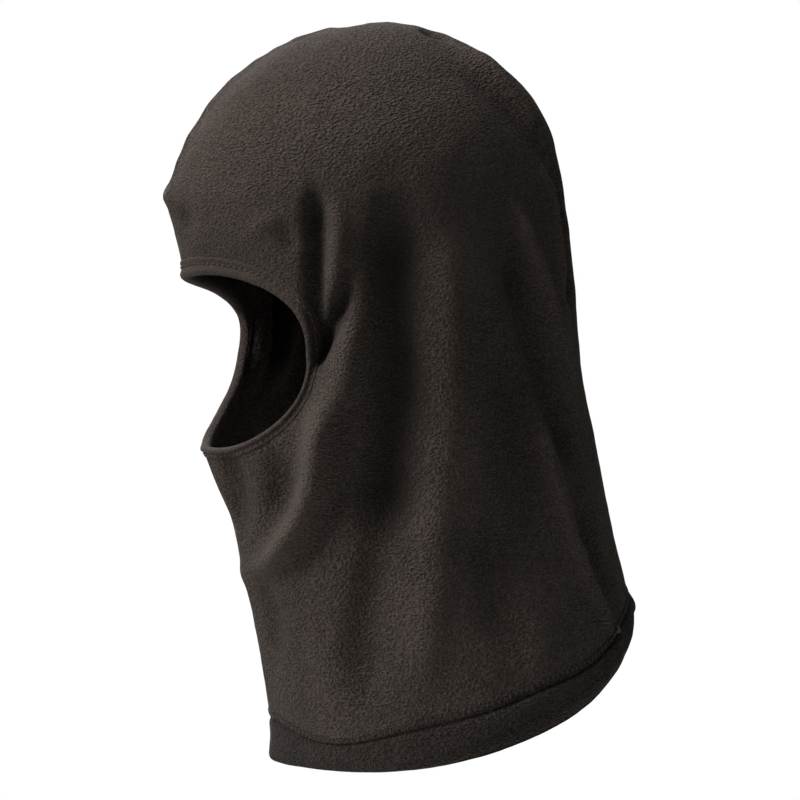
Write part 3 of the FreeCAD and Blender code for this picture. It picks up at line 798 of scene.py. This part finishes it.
def fleece(name, deep, mid, light, pebble=670.0, depth=0.0026):
    """Brushed fleece: crumbs that lie across the body and slant on the crown, fine fibres over them."""
    made, nodes, links, shader = material(name, 0.95, 0.03, 0.4, 0.06)
    place = nodes.new("ShaderNodeTexCoord").outputs["Object"]
    split = nodes.new("ShaderNodeSeparateXYZ")
    links.new(place, split.inputs[0])
    body = stretched(nodes, links, place, (1.0, 1.0, 1.4))
    crown = stretched(nodes, links, place, (1.0, 1.0, 1.5), (math.radians(-42), 0, 0))
    crumbs = [noise(nodes, links, at, pebble, 1.2, 0.5, 0.15) for at in (body, crown)]
    high = nodes.new("ShaderNodeMapRange")
    high.inputs["From Min"].default_value = -0.06
    high.inputs["From Max"].default_value = 0.02
    links.new(split.outputs["Z"], high.inputs["Value"])
    crumb = mixed(nodes, links, high.outputs["Result"], *crumbs)
    fibre = noise(nodes, links, body, 1500.0, 2.0, 0.6, 0.4)
    patch = noise(nodes, links, place, 26.0, 2.0, 0.5)
    height = maths(nodes, links, "ADD", crumb, maths(nodes, links, "MULTIPLY", fibre, 0.16))
    # The fold relief darkens the tone in the valleys and lightens it on the crests: painted shade in the fold
    # valleys and painted light on the fold crests.
    fold = nodes.new("ShaderNodeAttribute")
    fold.attribute_name = "relief"
    tone = maths(nodes, links, "ADD", crumb, maths(nodes, links, "MULTIPLY", fold.outputs["Fac"], 0.02))
    for unevenness, share in ((patch, 0.22), (fibre, 0.12)):
        centred = maths(nodes, links, "SUBTRACT", unevenness, 0.5)
        tone = maths(nodes, links, "ADD", tone, maths(nodes, links, "MULTIPLY", centred, share))
    links.new(ramp(nodes, links, tone, [(0.3, deep), (0.5, mid), (0.72, light)]), shader.inputs["Base Color"])
    bumped(nodes, links, shader, height, depth)
    return made


def thread_stuff(name, dark, light):
    made, nodes, links, shader = material(name, 0.6, 0.1, 0.4, 0.4)
    place = nodes.new("ShaderNodeTexCoord").outputs["Object"]
    twist = nodes.new("ShaderNodeTexWave")
    twist.inputs["Scale"].default_value = 900.0
    twist.inputs["Distortion"].default_value = 1.2
    twist.bands_direction = "DIAGONAL"
    links.new(place, twist.inputs["Vector"])
    wear = noise(nodes, links, place, 160.0, 2.0)
    strands = maths(nodes, links, "MULTIPLY", twist.outputs["Fac"], 0.6)
    tone = maths(nodes, links, "ADD", strands, maths(nodes, links, "MULTIPLY", wear, 0.4))
    links.new(ramp(nodes, links, tone, [(0.2, dark), (0.8, light)]), shader.inputs["Base Color"])
    bumped(nodes, links, shader, twist.outputs["Fac"], 0.00015)
    return made


def woven(name, dark, light, pitch, sheen=0.15, depth=0.0002):
    """Plain woven or knitted tape: two crossing sets of fine ribs."""
    made, nodes, links, shader = material(name, 0.75, sheen, 0.4, 0.35)
    place = nodes.new("ShaderNodeTexCoord").outputs["Object"]
    ribs = []
    for direction in ("X", "Z"):
        rib = nodes.new("ShaderNodeTexWave")
        rib.bands_direction = direction
        rib.inputs["Scale"].default_value = pitch
        rib.inputs["Distortion"].default_value = 0.3
        links.new(place, rib.inputs["Vector"])
        ribs.append(rib.outputs["Fac"])
    weave = maths(nodes, links, "MULTIPLY", *ribs)
    patch = noise(nodes, links, place, 90.0, 3.0)
    ribbed = maths(nodes, links, "MULTIPLY", weave, 0.7)
    tone = maths(nodes, links, "ADD", ribbed, maths(nodes, links, "MULTIPLY", patch, 0.45))
    links.new(ramp(nodes, links, tone, [(0.1, dark), (0.9, light)]), shader.inputs["Base Color"])
    bumped(nodes, links, shader, weave, depth)
    return made


def pale(name, colour):
    """Matt paper, very slightly uneven."""
    made, nodes, links, shader = material(name, 0.9, 0.0, 0.5, 0.1)
    grain = noise(nodes, links, nodes.new("ShaderNodeTexCoord").outputs["Object"], 60.0, 3.0)
    shaded = tuple(c * 0.985 for c in colour)
    links.new(ramp(nodes, links, grain, [(0.0, shaded), (1.0, colour)]), shader.inputs["Base Color"])
    return made


FLEECE = fleece("fleece", (0.020, 0.0157, 0.0133), (0.036, 0.0278, 0.0238), (0.054, 0.0420, 0.0361))
# A darker copy of the fleece for the hem band: painted shade where the band turns down and away from the
# light.
BAND_PAINTED_SHADE = fleece("fleece_band_painted_shade", (0.011, 0.0088, 0.0075), (0.020, 0.0158, 0.0135), (0.032, 0.0253, 0.0218))
BINDING = fleece(
    "binding_knit", (0.026, 0.0200, 0.0172), (0.035, 0.0272, 0.0234), (0.045, 0.0352, 0.0305), 700.0, 0.0012
)
THREAD = thread_stuff("sewing_thread", (0.016, 0.013, 0.0115), (0.040, 0.032, 0.028))
ELASTIC = woven("covered_elastic", (0.02, 0.019, 0.018), (0.06, 0.058, 0.055), 520.0)
LABEL = woven("label_satin", (0.42, 0.41, 0.385), (0.70, 0.69, 0.66), 640.0)

# ---------------------------------------------------------------- the pieces

shell = hood()
band = hem()
rim = binding()
standing = allowance()
cord_inside = elastic()
rim_stitches = topstitch()
hem_ticks = hem_bars("hem_seam_ticks", 20.9, 25.6, [-0.7, 0.12, 0.4, 0.3, -0.4], 3.0, 0.22, 0.3)
hem_loops = hem_bars("hem_overlock_loops", 19.4, 25.4, [-4.3, -4.9, -5.05, -4.85, -4.2], 4.2, 0.3, 1.3)
back_overlock = overlock()
brow_tack = bartack("forehead_tack", 0.0, 3.0, (1.9, 0.0), (0.0, 1.0), 0.15)
dot_run = float(hem_run(np.array([2.42]), np.array([23.5]))[0])
hem_tack = bartack("hem_tack", 2.42, dot_run, (0.6, 1.9), (1.0, -0.3), 1.15)
tape = label()
tape_stitches = label_threads()

PIECES = [
    (shell, "hood", "hood_shell", "fleece", FLEECE),
    (band, "hood", "bottom_hem_band", "fleece", BAND_PAINTED_SHADE),
    (standing, "hood", "seam_allowance", "fleece", FLEECE),
    (rim, "hood", "face_binding", "binding", BINDING),
    (cord_inside, "hood", "face_elastic", "elastic", ELASTIC),
    (rim_stitches, "hood", "face_topstitch", "thread", THREAD),
    (hem_ticks, "hood", "hem_seam_thread", "thread", THREAD),
    (hem_loops, "hood", "hem_overlock_thread", "thread", THREAD),
    (back_overlock, "hood", "crown_back_seam_thread", "thread", THREAD),
    (brow_tack, "hood", "forehead_bartack", "thread", THREAD),
    (hem_tack, "hood", "hem_bartack", "thread", THREAD),
    (tape, "label", "care_label", "label", LABEL),
    (tape_stitches, "label", "label_stitching", "thread", THREAD),
]
for piece, body, cad_node, slot, stuff in PIECES:
    piece.data.materials.clear()
    piece.data.materials.append(stuff)
    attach(piece, body)
    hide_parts(cad_node)

# ---------------------------------------------------------------- stage, light and camera


def direction(azimuth, elevation):
    a, e = math.radians(azimuth), math.radians(elevation)
    return Vector((math.sin(a) * math.cos(e), -math.cos(a) * math.cos(e), math.sin(e)))


def aimed(thing, place, target):
    thing.location = place
    thing.rotation_euler = (target - place).to_track_quat("-Z", "Y").to_euler()
    bpy.context.scene.collection.objects.link(thing)
    return thing


FLOOR_DROP, FLOOR_REACH = 0.26, 1000.0          # metres under the hood, millimetres across
floor_z = CAD_LOW.z - FLOOR_DROP
edge = np.linspace(0, TURN, 96, endpoint=False)
disc = np.stack([np.cos(edge), np.sin(edge), 0 * edge], -1) * FLOOR_REACH
floor = mesh_piece("floor", disc + (0, 0, floor_z / MM), [range(len(edge))])
floor.data.materials.append(pale("floor_paper", (0.94, 0.94, 0.94)))

CAMERA_AZIMUTH, CAMERA_ELEVATION, CAMERA_DISTANCE = 74, 2.5, 1.5
back = direction(CAMERA_AZIMUTH, CAMERA_ELEVATION)
right = Vector((math.cos(math.radians(CAMERA_AZIMUTH)), math.sin(math.radians(CAMERA_AZIMUTH)), 0))
up = back.cross(right)
target = right * 0.018 - up * 0.103
lens = bpy.data.cameras.new("camera")
lens.lens, lens.sensor_width = 130.8, 36.0
lens.clip_start, lens.clip_end = 0.01, 60.0
viewpoint = target + back * CAMERA_DISTANCE
bpy.context.scene.camera = aimed(bpy.data.objects.new("camera", lens), viewpoint, target)


def area_light(name, place, size, power, spread):
    lamp = bpy.data.lights.new(name, "AREA")
    lamp.shape, lamp.size, lamp.energy = "DISK", size, power
    lamp.spread = math.radians(spread)
    aimed(bpy.data.objects.new(name, lamp), place, target)


area_light("key", target + back * 0.75 - right * 1.5 + up * 1.1, 0.95, 8.0, 60)
area_light("top", target + back * 0.3 - right * 0.5 + up * 1.75, 0.9, 6.4, 80)
area_light("rear", target - back * 1.3 - right * 0.5 + up * 0.8, 0.9, 6.0, 90)

# A white background that lights the scene only weakly.
SKY_LIGHT, SKY_STRENGTH = (0.95, 1.0, 0.94), 0.15
world = bpy.data.worlds.new("studio")
world.use_nodes = True
nodes, links = world.node_tree.nodes, world.node_tree.links
sky = nodes["Background"]
seen = nodes.new("ShaderNodeLightPath").outputs["Is Camera Ray"]
links.new(mixed(nodes, links, seen, SKY_LIGHT, (1.0, 1.0, 1.0)), sky.inputs["Color"])
level = nodes.new("ShaderNodeMapRange")
level.inputs["To Min"].default_value = SKY_STRENGTH
level.inputs["To Max"].default_value = 1.0
links.new(seen, level.inputs["Value"])
links.new(level.outputs["Result"], sky.inputs["Strength"])
bpy.context.scene.world = world
bpy.context.scene.view_settings.view_transform = "Standard"
